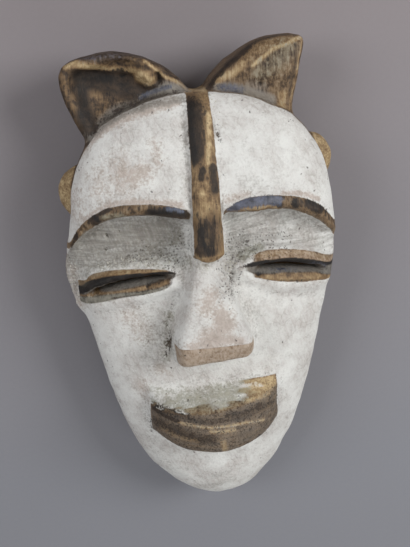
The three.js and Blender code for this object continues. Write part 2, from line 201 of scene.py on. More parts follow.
EYE_PAINT = {  # from the top down: where each of these begins, and the foot of the last
    "lid": {
        1: [(0.282, 0.66), (0.361, 0.666), (0.448, 0.67), (0.561, 0.668), (0.678, 0.661),
            (0.805, 0.649), (0.966, 0.626)],
        0: [(0.223, 0.645), (0.286, 0.65), (0.393, 0.653), (0.5, 0.654), (0.608, 0.653),
            (0.717, 0.649), (0.808, 0.64), (0.882, 0.622)]},
    "soot_and_slit_shade": {
        1: [(0.259, 0.645), (0.324, 0.649), (0.401, 0.652), (0.491, 0.651), (0.582, 0.651),
            (0.663, 0.646), (0.784, 0.636), (0.946, 0.615)],
        0: [(0.213, 0.64), (0.288, 0.644), (0.396, 0.645), (0.503, 0.646), (0.611, 0.643),
            (0.72, 0.639), (0.812, 0.629), (0.871, 0.62), (0.909, 0.609)]},
    "slope": {
        1: [(0.257, 0.641), (0.323, 0.641), (0.43, 0.641), (0.582, 0.639), (0.724, 0.631),
            (0.939, 0.611)],
        0: [(0.213, 0.638), (0.289, 0.639), (0.397, 0.64), (0.506, 0.635), (0.615, 0.629),
            (0.725, 0.624), (0.839, 0.609), (0.923, 0.593)]},
    "lower": {
        1: [(0.278, 0.628), (0.349, 0.622), (0.439, 0.618), (0.555, 0.617), (0.673, 0.611),
            (0.797, 0.604), (0.957, 0.584)],
        0: [(0.212, 0.63), (0.345, 0.622), (0.432, 0.618), (0.509, 0.614), (0.62, 0.608),
            (0.732, 0.602), (0.839, 0.598), (0.924, 0.592)]},
    "underside": {
        1: [(0.357, 0.612), (0.435, 0.605), (0.55, 0.597), (0.668, 0.591), (0.792, 0.587),
            (0.949, 0.576)],
        0: [(0.226, 0.622), (0.35, 0.61), (0.438, 0.606), (0.514, 0.604), (0.623, 0.602),
            (0.734, 0.597), (0.847, 0.59), (0.926, 0.586)]},
    "foot": {  # only the left eye has a painted underside
        0: [(0.216, 0.619), (0.296, 0.608), (0.362, 0.603), (0.44, 0.598), (0.517, 0.596),
            (0.627, 0.592), (0.705, 0.586), (0.795, 0.579), (0.9, 0.571)]},
}
SAMPLES = np.linspace(-0.1, 1.2, 261)  # shares of the half width at which lines are drawn
EYE_HIGH = {
    1: [(0.185, 0.641), (0.35, 0.665), (0.52, 0.672), (0.72, 0.66), (0.88, 0.635), (0.985, 0.612)],
    0: [(0.185, 0.652), (0.33, 0.662), (0.48, 0.662), (0.62, 0.655), (0.77, 0.638), (0.985, 0.59)],
}


def line_at(shares):
    """Height share of a layout line over each point, by the side of the face it lies on."""
    found = []
    for name in (0, 1):
        drawn = np.interp(SAMPLES, *zip(*shares.get(name, shares[0])))
        smooth = np.convolve(np.pad(drawn, 8, "edge"), np.hanning(19)[1:-1] / 9, "valid")
        found.append(np.interp(away, SAMPLES, smooth))
    return np.where(side == 0, *found)


def soft(distance, width=0.8):
    """0 outside, 1 inside, over a soft edge as wide as given, in mm."""
    t = np.clip(distance / width * 0.5 + 0.5, 0, 1)
    return t * t * (3 - 2 * t)


def rim_distance():
    """How far inside the face's outline a point lies in mm, and its share of the way out."""
    ring = [(x, y) for x, y in OUTLINE[1]] + [(-x, y) for x, y in OUTLINE[0][::-1]]
    plan = np.array(ring) * (HALF_WIDTH, FACE_LENGTH) - (0, FACE_LENGTH / 2)
    turn = np.arctan2(plan[:, 1], plan[:, 0])
    order = np.argsort(turn)
    here = points[:, :2] - (0, CHIN + FACE_LENGTH / 2)
    reach = np.interp(np.arctan2(here[:, 1], here[:, 0]), turn[order],
                      np.hypot(*plan[order].T), period=2 * math.pi)
    return reach - np.hypot(*here.T), np.clip(np.hypot(*here.T) / reach, 0, 1)


RIM_AT_CHIN, RIM_AT_CROWN = 29, 53  # mm from the back to the edge of the face
CHEEK_DEPTH, DOME_POWER = 64, 2.6  # mm from the back to the cheeks, and how full the dome is
HALF_WALL = 8  # mm, about half of the wood that the hollow leaves
inside, reach_share = rim_distance()
rim_height = RIM_AT_CHIN + (RIM_AT_CROWN - RIM_AT_CHIN) * np.clip(up, 0, 1)
cheek_skin = rim_height + (CHEEK_DEPTH - rim_height) * np.sqrt(1 - reach_share ** DOME_POWER)
hollow = soft(inside - HALF_WALL, 2) * soft(cheek_skin - HALF_WALL - points[:, 2], 2)
faces_back = soft(-normal[:, 2] - 0.7, 0.2) * soft(60 - points[:, 2], 3) * soft(inside - 3, 2)
hollow = np.maximum(hollow, faces_back)
upright = soft(-inside + 0.6) * (up > 0.86) * ~((away > 0.9) & (up < 0.9))
lug_up = np.where(side == 0, 0.79, 0.828)
lug = soft(-inside + 0.4) * (np.abs(up - lug_up) < 0.068) * (away > 0.88)
temple = soft(-inside + 0.2) * (up > 0.53) * (up < 0.675) * (away > 0.9)
wall = soft(rim_height - 2.5 - points[:, 2], 3) * soft(HALF_WALL - inside, 2)
wall *= (1 - upright) * (1 - lug) * (1 - hollow)
band_half = (0.103 - 0.031 * (up - 0.672) / 0.323) * HALF_WIDTH
in_band = np.minimum(band_half - np.abs(points[:, 0]) + 0.3, (up - 0.672) * FACE_LENGTH)
band = soft(in_band) * (up < 1.0)
brow_low, eye_high = line_at(BROW_LOW), line_at(EYE_HIGH)
in_brow = np.minimum(up - line_at(BROW_PAINT["low"]), line_at(BROW_PAINT["top"]) - up) * FACE_LENGTH
brow = soft(in_brow) * (away > 0.125) * (away < 1.03) * (1 - wall) * (points[:, 2] > 40)
over = {name: (up - line_at(shares)) * FACE_LENGTH for name, shares in EYE_PAINT.items()}
corner = soft((away - np.where(side == 0, 0.235, 0.275)) * HALF_WIDTH, np.where(side == 0, 4, 4.5))
end = soft((np.where(side == 0, 0.935, 1.0) - away) * HALF_WIDTH, 1.2) * (1 - wall)
# The black band along each eye's slit is painted shade, for the dark seen through the open slit.
soot_and_slit_shade = soft(-over["soot_and_slit_shade"], 0.9) * soft(over["slope"], 1.2) * np.sqrt(corner) * end
lid_corner = corner * soft((away - np.where(side == 0, 0.27, 0.33)) * HALF_WIDTH, 6)
upper_lid = soft(-over["lid"], 1) * soft(over["soot_and_slit_shade"]) * lid_corner * end
trough = soft(-over["slope"]) * soft(over["lower"], 1) * corner * end
lower_lid = soft(-over["lower"], 1) * soft(over["underside"], 1) * lid_corner * end
under_lid = soft(-over["underside"], 1) * soft(over["foot"], 1.4) * lid_corner * end * (side == 0)
eye = np.clip(soot_and_slit_shade + upper_lid + trough + lower_lid + under_lid, 0, 1)
socket = soft((brow_low - up) * FACE_LENGTH) * soft((up - eye_high) * FACE_LENGTH, 1.6)
socket *= soft((away - 0.14) * HALF_WIDTH, 2) * (1 - wall)
HALF_MOUTH, LIP_SAG = 40, 10  # mm
lip_foot = 0.222 + LIP_SAG / FACE_LENGTH * np.clip(np.abs(points[:, 0]) / HALF_MOUTH, 0, 1) ** 3
in_mouth = np.minimum(up - lip_foot, 0.374 - up) * FACE_LENGTH
mouth = soft(np.minimum(39.6 - np.abs(points[:, 0]), in_mouth)) * (1 - hollow)
nose_rows = [0.446, 0.465, 0.508, 0.57, 0.65, 0.69]
nose_foot = np.interp(up, nose_rows, [0.33, 0.35, 0.32, 0.24, 0.14, 0.11])
nose_top = np.interp(up, nose_rows, [0.23, 0.25, 0.262, 0.175, 0.09, 0.07])
nose = soft((nose_foot - away) * HALF_WIDTH) * (up > 0.44) * (up < 0.69) * (1 - hollow)
outside = 1 - hollow
parts = {"upright": upright, "band": band, "brow": brow, "eye": eye, "socket": socket,
         "mouth": mouth, "nose": nose}
print("points in", {name: int(part.sum()) for name, part in parts.items()})

# %% [markdown]
# Tool marks. A carver takes the last wood off with shallow scoops of a curved knife, a
# centimetre or so wide, scores the brows with short nicks and scrapes the eye sockets with fine
# strokes that fan out from the nose. Each mark stays under a millimetre, so the solid's form is
# kept; only the raised lips, the holes and the cuts go further.

# %% Tool marks and relief
def waves(size, count=9, stretch=(1, 1, 1)):
    """Smooth unevenness of about that size in mm: a few plane waves in random directions."""
    total = np.zeros(len(points))
    for _ in range(count):
        direction = rng.normal(size=3)
        direction /= np.linalg.norm(direction)
        rate = 2 * math.pi / size * rng.uniform(0.6, 1.5)
        total += np.sin(points @ (direction * stretch) * rate + rng.uniform(0, 2 * math.pi))
    return total / math.sqrt(count / 2)


def scoops(size):
    """Shallow bowls around jittered points of a grid: 0 in their middle, near 1 where they meet."""
    plan = points[:, :2] / size
    cell = np.floor(plan)
    nearest = np.full(len(points), 9.0)
    for dx in (-1, 0, 1):
        for dy in (-1, 0, 1):
            corner = cell + (dx, dy)
            jitter = np.sin(corner @ np.array([[127.1, 269.5], [311.7, 183.3]])) * 43758.5453
            nearest = np.minimum(nearest, np.hypot(*(corner + jitter % 1 - plan).T))
    return np.clip(nearest, 0, 1) ** 2


def stroke_distance(line):
    """Distance in plan from each point to a line of plan points, in mm."""
    best = np.full(len(points), 1e9)
    line = np.array(line, float)
    starts, ends = (line[:-1], line[1:]) if len(line) > 1 else (line, line + 1e-3)
    for start, end in zip(starts, ends):
        run = end - start
        share = np.clip((points[:, :2] - start) @ run / (run @ run), 0, 1)
        best = np.minimum(best, np.hypot(*(start + share[:, None] * run - points[:, :2]).T))
    return best


# Each line adds one kind of mark: its height in mm, times the field where it belongs
front = soft(normal[:, 2] - 0.1, 0.3) * outside
skin_area = front * (1 - brow) * (1 - eye) * (1 - band) * (1 - mouth)
relief = 0.14 * waves(26) + 0.06 * waves(11)
relief += 0.32 * (scoops(13) - 0.3) * skin_area * (1 - socket) * (1 - upright)
relief += 0.5 * (scoops(9) - 0.3) * upright + 0.4 * (scoops(12) - 0.3) * (wall + hollow)
NOSE_ROOT = 40  # mm along Y, where the scrapes in the sockets fan out from
fan = np.arctan2(points[:, 1] - NOSE_ROOT, np.abs(points[:, 0]) + 30)
relief += 0.13 * np.sin(fan * 90 + 2.2 * waves(16, 5)) * (0.6 + 0.4 * waves(10, 5)) * socket * front
nicks = np.sin(points[:, 0] * 2 * math.pi / 4.4 + 1.3 * waves(20, 4) + 0.35 * points[:, 1])
relief -= 0.8 * np.clip(nicks - 0.55, 0, 1) * brow * (soft(away - 0.5, 0.4) + 0.3)
relief += 0.05 * np.sin(points[:, 0] * 2 * math.pi / 2.9 + waves(14, 4)) * mouth
flatter = eased(points, rounds=5, agreement=9.0)
sharp = ((flatter - points) * normal).sum(1)  # below zero on edges, above in grooves
relief += np.clip(sharp, -0.6, 0) * np.clip(0.5 + 0.8 * waves(8), 0, 1.2) * outside

RAISED = [  # carved lips: line, half width and height in mm
    ([(-70, 141), (-64, 142), (-54, 141), (-47, 139), (-40, 138), (-31, 137), (-26, 134)], 2.6, 1.3),
    ([(-28, 133), (-25.5, 130.5)], 4.0, 1.6),  # the curled end of the left ear's rim
    # over the left eye
    ([(-68, 24), (-60, 30), (-49, 32.5), (-38, 33), (-26, 32.5), (-20, 32)], 1.8, 1.5),
]
for line, half, height in RAISED:
    relief += height * soft(half - stroke_distance(line), 1.6) * (1 - brow) * front
PITS = [  # plan point, radius and depth in mm: insect holes and a knot
    ((-55.9, 47.2), 1.2, 1.8), ((-56.4, 39.3), 0.9, 1.0), ((40.4, 138.6), 1.0, 1.2),
    ((36.5, 125.2), 1.2, 1.5), ((29.4, 19.9), 1.8, 2.4), ((53.1, 11.5), 0.9, 1.0),
    ((-35.0, 18.9), 1.0, 1.2),
]
CUTS = [  # cracks and knife cuts: half width, depth, line
    (1.5, 3.4, [(-19.8, 134), (-19.7, 130)]),  # behind the left ear's curled end
    (0.7, 0.7, [(8.5, 107.7), (8.8, 103.5), (9.9, 98)]),  # a crack right of the band
    (0.7, 0.8, [(-30.2, 69), (-30.6, 64.9)]),  # across the left brow
    (0.6, 0.7, [(-47.2, 68.4), (-47.2, 64.7)]),
    (0.6, 0.7, [(-49, 68.1), (-49, 64.9)]),
    (0.6, 0.7, [(-51.2, 67.4), (-51.1, 64.9)]),
    (0.6, 0.6, [(-64.7, 59.5), (-64.3, 57)]),
    (0.6, 0.6, [(-67.9, 56.8), (-67, 54.8)]),
    (0.6, 0.6, [(-70, 54.6), (-68.8, 53.2)]),
    (0.6, 0.6, [(65.8, 57.2), (66.2, 53.7)]),  # across the right brow
    (0.6, 0.6, [(68.7, 55.1), (69, 51.5)]),
    (0.6, 0.6, [(71.2, 52.4), (71.5, 48.8)]),
    (0.7, 0.9, [(-34.9, 20.5), (-35.4, 15.3)]),  # across the left lower lid
    (1.2, 1.9, [(-25.5, -12), (-26.5, -19.6), (-27.8, -28)]),  # beside the nose's left wing
    (1.1, 1.8, [(14.2, 21), (13.8, 18), (12.9, 12.5)]),  # beside the nose's root
    (0.7, 0.6, [(-39.9, -71.2), (-40.7, -85.5)]),  # at the corners of the mouth
    (0.6, 0.5, [(39.6, -58.3), (39.3, -68.4)]),
]
pitted = np.zeros(len(points))
for centre, radius, depth in PITS:
    here = soft(radius - stroke_distance([centre]), 1.4) * front
    relief -= depth * here
    pitted = np.maximum(pitted, here)
for half, depth, line in CUTS:
    here = soft(half - stroke_distance(line), 1.1) * front
    relief -= depth * here
    pitted = np.maximum(pitted, 0.85 * here)
CRUST = [  # thick clay by the inner corners of the eyes: reach and soft edge in mm, line
    (7.5, 5, [(10, 18), (13, 30), (20, 38), (30, 37), (42, 36)]),
    (5.5, 4, [(-40, 36), (-28, 35), (-19, 30), (-17, 40), (-9, 44)]),
]
crust = sum(soft(reach - stroke_distance(line), edge) for reach, edge, line in CRUST)
relief += 0.4 * np.clip(crust, 0, 1) * waves(3.4, 14) * skin_area
box_low, box_high = (np.array(corner) / MM for corner in CAD_BOX)
worked = points + normal * relief[:, None]
worked = np.clip(worked, box_low, box_high)
even.vertices.foreach_set("co", (worked * MM).ravel())
even.update()
along_scrape = np.hypot(points[:, 1] - NOSE_ROOT, points[:, 0]) * 0.09 + 40 * side
scrape_way = np.stack([fan * 60, along_scrape, fan * 0], 1) * MM
scrape_data = even.attributes.new("scrape_way", "FLOAT_VECTOR", "POINT").data
scrape_data.foreach_set("vector", scrape_way.ravel())
print("relief from", relief.min().round(2), "to", relief.max().round(2), "mm")

# %% [markdown]
# Paint. The real paints were laid on by hand: clay over the whole face, then ochre and soot
# along the carved lines, with wear wherever fingers reach. A texture made only of noise can't
# know where the brows are, so each paint gets an attribute: a number from 0 to 1 at every point
# of the mesh. The carved parts give the broad fields, painted shade in the grooves and slits
# among them, and the list of strokes adds the places where this mask is blackened, stained or
# rubbed, with some painted shade and a few painted highlights. The shader later breaks up
# their edges.

# %% Fields of paint from the carved parts
# Darker where the skin dips: dirt that settles in the grooves, and painted shade in the creases.
groove_dirt_and_shade = np.clip(sharp * 2.2, 0, 1) * outside
rub = np.clip(-sharp * 2.6, 0, 1) * outside
lip_edge = np.interp(points[:, 0], [-38, -20, 0, 20, 38], [-61.5, -60.5, -59.5, -57.5, -54.5])
slope = mouth * soft(points[:, 1] - lip_edge, 1.0)
lips = np.clip(mouth - slope, 0, 1)
above_lips = np.clip((points[:, 1] - lip_edge) / 11, 0, 1)
nose_end = nose * soft((0.506 - up) * FACE_LENGTH, 0.9) * soft(points[:, 2] - 70, 4)
nose_end *= soft((nose_top + 0.02 - away) * HALF_WIDTH, 1)
top_face = upright * soft(normal[:, 1] - 0.6, 0.3)
bare = band + brow + eye + mouth + wall + upright + lug + 0.7 * temple + nose_end
face = np.clip(1 - bare, 0, 1) * outside
streaky = waves(4.5, 11, (0.28, 1, 1))
off_foot = soft(11 * above_lips - 1.8 + 1.1 * streaky, 2.4)
clay_on_slope = np.interp(points[:, 0], [-40, 4, 14, 24, 40], [0.9, 0.8, 0.55, 0.2, 0.05])
clay_on_slope += 0.3 * above_lips * soft(19 - points[:, 0], 9) + 0.13 * streaky
olive_on_slope = np.interp(above_lips, [0, 0.5, 1], [0.95, 0.62, 0.32]) * soft(22 - points[:, 0], 8)
clay_on_slope *= off_foot
olive_on_slope = (olive_on_slope - 0.16 * streaky) * (0.3 + 0.7 * off_foot)
over_left_lid = soft(4 - np.abs(over["lid"] - 3), 3) * (side == 0) * (away < 0.93)
ear_foot = np.maximum(upright, wall * (up > 0.86))
paint = {
    "kaolin": face + clay_on_slope * slope + 0.35 * temple,
    "ochre": 0.55 * brow + 0.64 * upper_lid + 0.62 * lower_lid + 0.58 * band + 0.8 * lug
    + 0.27 * upright + 0.17 * upright * (side == 1) + 0.55 * slope + 0.25 * wall + 0.3 * hollow
    + (0.42 + 0.05 * streaky) * lips + 0.5 * temple + 0.8 * nose_end + 0.5 * face,
    "dark": np.maximum(1.3 * soot_and_slit_shade, 0.3 * trough) + 0.25 * brow * (side == 1) + 0.25 * lips,
    "soot_and_slit_shade": 1.2 * soot_and_slit_shade,
    "blue": 0.2 * top_face * (side == 0),
    "grey": 0.1 * face + 0.7 * trough + 0.4 * lips + 0.12 * upright * (side == 1)
    + 0.5 * under_lid + 0.2 * brow,
    "worn": 0.5 * rub * face + 0.75 * nose_end + 0.45 * upper_lid * (side == 1) + 0.45 * temple,
    "green": 0.7 * under_lid + olive_on_slope * slope + 0.35 * over_left_lid,
    "speckle": np.clip(crust + 0.3 * soft(5 - inside, 4) * waves(9), 0, 1) * (face + eye)
    + 0.5 * lips + 0.15 * slope,
    "scraped": socket * front,
    "crusty": np.clip(crust, 0, 1) * face,
    "grain": np.clip(band + brow + upright + 0.7 * eye + nose_end, 0, 1),
    "groove_dirt_and_shade": groove_dirt_and_shade,
}
print({name: round(float(value.mean()), 3) for name, value in paint.items()})

# %% Strokes of paint and wear
STROKES = {  # by part: paint, strength, half width in mm, line in plan
    "upright": [
        # rim along the top of the left ear
        ("ochre", 0.85, 1.7, [(-69, 141), (-64, 142), (-54, 141), (-47, 139), (-40, 138), (-31, 137),
            (-25, 135), (-23, 132)]),
        ("ochre", 0.85, 3.6, [(-29, 134), (-25, 130)]),  # the rim's curled end
        # its back edge, down to the band
        ("ochre", 0.9, 1.0, [(-26.5, 141.5), (-17.5, 133.5), (-11, 130), (-5.5, 126), (-2, 123)]),
        ("ochre", 0.4, 3.0, [(-72, 137), (-70, 130), (-67, 122), (-65, 114)]),  # its lighter near side
        ("ochre", 0.42, 4.0, [(-56, 126), (-53, 121)]),  # a lighter patch in its hollow face
        ("ochre", 0.4, 3.3, [(-50, 119), (-54, 112)]),  # a fainter one lower down
        ("dark", 1.2, 4.6, [(-59, 133), (-52, 133), (-46, 131), (-40, 133)]),  # soot in its hollow face
        ("dark", 0.95, 2.0, [(-63, 137), (-56, 137), (-48, 136), (-38, 135)]),  # soot under the rim
        ("soot_and_slit_shade", 0.8, 2.6, [(-63, 135), (-55, 134.5), (-46, 133)]),  # the blackest part of it
        ("soot_and_slit_shade", 0.6, 2.2, [(-62, 130), (-61, 120)]),  # black down the near side
        ("dark", 0.9, 2.6, [(-63, 136), (-62, 129), (-62, 120)]),  # soot down its near side
        ("dark", 0.85, 4.0, [(-62, 115), (-59, 108)]),  # soot at its foot
        ("dark", 0.9, 3.3, [(-41, 126), (-34, 124), (-29, 126)]),  # soot by the curled end
        ("grey", 0.9, 3.2, [(-30, 122), (-24, 124), (-18, 126), (-9, 125)]),  # blue-grey at its root
        ("dark", 0.8, 1.4, [(-37, 122), (-29, 125), (-21, 128)]),  # a dark streak through it
        ("blue", 0.7, 1.2, [(-30, 122), (-22, 125), (-14, 127)]),  # a blue one
        ("dark", 0.5, 1.3, [(-39, 116), (-32, 119), (-25, 122), (-18, 123)]),  # dark line under it
        ("blue", 0.4, 2.6, [(-60, 145), (-50, 146), (-40, 145)]),  # blue-grey on its top face
        # the ridge of the right ear
        ("ochre", 1, 1.1, [(60.5, 149.5), (54.5, 147.5), (50, 145.5), (43.5, 143.5), (37.5, 139.5),
            (32, 135.5)]),
        ("kaolin", 0.45, 0.7, [(60, 149.5), (54.5, 147.5), (50, 145.5)]),  # a pale rub along the ridge
        ("ochre", 0.6, 5.3, [(52, 149), (42, 147), (35, 143), (28, 138)]),  # its upper plane
        ("kaolin", 0.3, 2.3, [(42, 149), (48, 149)]),  # a painted highlight near the top
        ("ochre", 0.85, 2.6, [(12, 128), (17, 131), (22, 132), (27, 137)]),  # its lower left
        ("ochre", 0.42, 6.6, [(51, 142), (45, 133), (36, 131)]),  # its lower plane
        ("ochre", 0.8, 3.3, [(49, 118), (48, 112)]),  # its foot
        ("green", 0.45, 5.0, [(51, 143), (44, 137), (37, 132)]),  # an olive tinge on the lower plane
        # soot along its long edge
        ("dark", 1, 1.8, [(7, 125), (12, 131), (17, 136), (24, 141), (31, 146)]),
        ("dark", 0.75, 1.1, [(30.5, 146), (38.5, 149), (47.5, 151), (54, 151)]),  # thinner up to the tip
        # a brown line down its short edge
        ("dark", 0.5, 0.9, [(56, 145), (55.5, 136.5), (54, 128.5), (53, 118)]),
        # the pale corner of that edge
        ("ochre", 0.75, 0.8, [(60.5, 149), (58, 138.5), (56.5, 128.5), (54, 115), (52.5, 110)]),
        # grey wash at its root
        ("grey", 0.85, 2.6, [(12, 124), (19, 124), (28, 122), (35, 120), (42, 116)]),
        ("blue", 0.7, 2.0, [(15, 125), (21, 124), (25, 123)]),  # a slate blot at its root
        ("grey", 0.45, 3.3, [(31, 125), (38, 123)]),  # grey higher up
    ],
    "ear_foot": [
        # grey wash where it meets the forehead
        ("grey", 1, 3.6, [(-58, 104), (-52, 108), (-44, 113), (-34, 116), (-24, 119), (-15, 121),
            (-7, 122)]),
        # a thin dark edge above it
        ("dark", 0.55, 1.3, [(-62, 103), (-50, 112), (-38, 118), (-24, 122), (-10, 124)]),
    ],
    "band": [
        # soot at the head of the band
        ("dark", 1.1, 5.0, [(-4, 117), (-4.5, 109), (-4.5, 100), (-5, 94)]),
        ("soot_and_slit_shade", 0.75, 2.6, [(-5, 117), (-6, 108), (-6, 98), (-5.5, 92)]),  # its blackest part
        ("soot_and_slit_shade", 0.7, 2.6, [(-4, 55), (-4, 47), (0, 42)]),  # soot on the foot
        ("dark", 0.8, 1.7, [(-3, 93), (-4, 90)]),  # its lower end
        ("dark", 1, 1.5, [(-1, 86), (-2, 81)]),  # a dark patch on the band
        ("dark", 1, 2.0, [(5, 86), (5, 81), (5, 74)]),  # another at its right edge
        ("ochre", 1, 2.0, [(5, 113), (4, 105), (3, 96), (2, 89)]),  # bare gold wood beside the soot
        ("dark", 0.7, 6.5, [(0, 55), (-1, 50), (-1, 46)]),  # the dark foot of the band
        ("dark", 0.95, 2.0, [(-4, 53), (-4, 45)]),  # its left streak
        ("dark", 0.95, 1.5, [(3, 57), (2, 52), (1, 45)]),  # its right streak
        ("dark", 1, 2.8, [(-5, 42), (1, 41)]),  # soot at the very foot
        ("green", 0.5, 1.7, [(-1, 51), (-2, 45)]),  # an olive gap between the streaks
        ("ochre", 0.7, 1.1, [(-8.5, 38), (-1.5, 37.5), (6.5, 38.5)]),  # bare wood under it
        ("ochre", 0.8, 3.3, [(-3, 74), (0, 68), (-2, 62)]),  # gold wood in the middle
    ],
    "brow": [
        ("dark", 1.1, 3.2, [(-30, 64), (-24, 64), (-19, 63.5), (-12, 62.5)]),  # left brow, its inner end
        ("soot_and_slit_shade", 0.8, 1.8, [(-30, 64.5), (-22, 65), (-13, 63.5)]),  # its black middle
        ("soot_and_slit_shade", 0.7, 1.6, [(-61, 62.5), (-59, 61)]),  # black in the turn
        ("dark", 0.8, 0.8, [(-32, 63.5), (-27.5, 62.5), (-21.5, 62)]),  # a black line under its inner end
        ("dark", 0.65, 1.6, [(-41, 68), (-40, 65)]),  # left brow, a dark stretch
        ("dark", 0.6, 0.7, [(-36.5, 69), (-37, 65)]),  # small dark nick
        ("dark", 0.9, 1.3, [(-58.5, 64.5), (-54.5, 66.5), (-52, 67.5)]),  # left brow, a dark upper edge
        ("dark", 1.1, 2.8, [(-61, 62), (-60, 60)]),  # left brow, the black turn
        ("green", 0.7, 2.0, [(-57, 62), (-51, 63), (-46, 63)]),  # olive under the black turn
        ("dark", 0.85, 1.6, [(-73, 51), (-73, 48)]),  # left brow, its outer part
        ("dark", 0.8, 0.9, [(-75, 46), (-77, 41)]),  # left brow, its outer end
        ("blue", 0.8, 1.4, [(-21, 66.5), (-17, 66), (-13.5, 64.5)]),  # a blue cast on its inner end
        # right brow, the slate stretch
        ("blue", 1, 2.8, [(13, 64), (18, 66), (25, 67), (32, 67), (39, 66)]),
        ("dark", 0.9, 0.8, [(15, 66), (20, 68), (29, 69), (39, 68.5), (43, 67)]),  # its dark upper edge
        ("dark", 0.9, 1.7, [(41, 63), (40, 63)]),  # its dark end
        ("ochre", 0.95, 1.2, [(19.5, 62.5), (27, 63), (36, 62.5), (38.5, 60.5)]),  # bare ochre under it
        ("dark", 0.9, 2.2, [(50, 64), (50, 61)]),  # right brow, a dark stretch
        ("dark", 0.7, 1.5, [(53, 63), (53, 61)]),  # another beside it
        ("dark", 1.1, 3.0, [(58, 62), (62, 59), (65, 57)]),  # right brow, the dark turn
        ("soot_and_slit_shade", 0.7, 1.6, [(49, 64), (50, 61)]),  # black before it
        ("soot_and_slit_shade", 0.75, 1.7, [(58, 63), (65, 59), (71, 54)]),  # black in it
        ("dark", 0.95, 1.1, [(62.5, 61.5), (70, 55.5), (75.5, 49), (77.5, 43.5)]),  # its dark outer edge
    ],
    "face": [
        # rubbed bevel over the left brow
        ("worn", 0.9, 2.2, [(-66, 60), (-60, 64), (-51, 68.5), (-42, 70), (-33, 69.5), (-24, 68.5),
            (-15, 66.5)]),
        # rubbed line over the right brow
        ("worn", 0.85, 1.1, [(42.5, 69), (50, 68), (58, 65.5), (64.5, 62)]),
        ("worn", 0.7, 2.0, [(11, 68), (16, 69), (22, 70)]),  # pink crumbs at its inner end
        ("worn", 0.8, 5.3, [(-42, 85), (-37, 84), (-33, 85)]),  # rubbed patch on the left of the forehead
        ("worn", 0.6, 4.0, [(-46, 80), (-43, 79)]),  # its lower left
        ("worn", 0.4, 6.6, [(-56, 78), (-55, 83), (-45, 89)]),  # and around it
        ("worn", 0.5, 3.0, [(-25, 100), (-25, 95), (-24, 91)]),  # a fainter one above it
        ("worn", 0.5, 4.6, [(-58, 76), (-55, 75)]),  # another near the left brow
        ("worn", 0.45, 5.9, [(-71, 71), (-70, 65), (-68, 61)]),  # the left flank of the forehead
        # painted shade in the cut left of the band
        ("grey", 0.2, 2.6, [(-7, 114), (-8, 102), (-10, 89), (-11, 80), (-11, 74)]),
        ("grey", 0.3, 4.6, [(22, 76), (29, 75)]),  # grey cloud low on the right
        ("worn", 0.5, 5.9, [(-46, -2), (-42, -7), (-40, -14)]),  # rubbed patch on the left cheek
        ("green", 0.8, 2.6, [(20, 31), (27, 33.5), (31, 34)]),  # olive dirt where the right lid begins
        ("worn", 0.75, 3.6, [(-78, 4), (-80, 15), (-79, 26)]),  # the rough left temple
        ("grey", 0.5, 2.6, [(-77, 10), (-78, 22)]),  # grey dust on it
        # greenish grey left of the nose
        ("green", 0.55, 2.6, [(-24, -2), (-25, -10), (-26, -20), (-28, -30)]),
        ("dark", 0.3, 1.1, [(-25, -4), (-26, -13), (-27, -20), (-28.5, -28)]),  # a painted shadow in the notch beside the wing
        # the rubbed edge of the forehead, left
        ("worn", 0.95, 2.2, [(-66, 96), (-60, 102), (-50, 109), (-38, 114), (-26, 117), (-12, 120)]),
        # grey along that edge
        ("grey", 0.8, 1.6, [(-62, 102), (-50, 110.5), (-38, 116), (-26, 119), (-8, 121.5)]),
        ("worn", 0.5, 3.3, [(-33, -37), (-29, -41)]),  # a rubbed patch above the mouth's left corner
        ("worn", 0.45, 4.6, [(-43, -49), (-41, -54)]),  # another beside that corner
        ("grey", 0.35, 6.6, [(-37, -1), (-33, -14), (-36, -31)]),  # grey on the left cheek
        ("grey", 0.3, 4.0, [(-43, -67), (-39, -98), (-30, -117)]),  # the left jaw
        ("grey", 0.35, 2.0, [(25, -2), (28, -6)]),  # a smudge on the right cheek
        ("grey", 0.4, 2.3, [(-1, -124), (7, -120)]),  # smudges on the chin
        ("grey", 0.35, 3.3, [(-11, -135), (0, -133), (10, -129)]),  # low on the chin
        ("grey", 0.3, 2.0, [(-23, -114), (-18, -117)]),  # a smudge left of the chin
    ],
    "socket": [
        ("grey", 0.95, 9.9, [(-75, 41), (-58, 46), (-40, 47), (-25, 48)]),  # painted shade in the left socket, under the brow's ledge
        ("grey", 0.8, 5.9, [(-74, 32), (-58, 37), (-41, 36), (-27, 39)]),  # painted shade in its lower part
        ("green", 0.5, 3.3, [(-35, 37), (-26, 40), (-14, 46)]),  # greenish dirt in it
        # cream clay on the crest of the left lid
        ("kaolin", 1, 2.2, [(-60, 30), (-49, 32), (-38, 32), (-26, 31)]),
        ("grey", 0.28, 7.9, [(17, 50), (33, 49), (50, 48), (68, 40)]),  # fainter painted shade in the right socket
        ("grey", 0.45, 3.3, [(17, 41), (23, 39)]),  # grey at the inner corner
    ],
    "eye": [
        ("dark", 0.5, 1.7, [(-32, 19), (-27, 20)]),  # dark flecks at the left slit's inner end
        ("dark", 0.7, 0.7, [(-56, 11.5), (-47, 12.5), (-37.5, 14)]),  # a dark line under the lower lid
        # bare wood of the right lid
        ("ochre", 0.75, 2.6, [(31, 31), (42, 32), (52, 31), (63, 28), (74, 22)]),
        ("blue", 0.5, 1.7, [(37, 22), (49, 20), (62, 21), (71, 18)]),  # slate on the right slope
        ("dark", 0.6, 0.7, [(33, 16), (41, 14), (51.5, 13), (60.5, 11.5)]),  # a dark line under it
    ],
    "nose": [
        ("worn", 1, 5.2, [(-4, -9), (3, -5), (6, -1), (4, 3)]),  # the rubbed ridge of the nose
        ("worn", 0.9, 2.6, [(5, -8), (13, -10)]),  # its right side
        ("worn", 0.8, 2.6, [(-14, -10), (-7, -10), (1, -10)]),  # above the blunt end
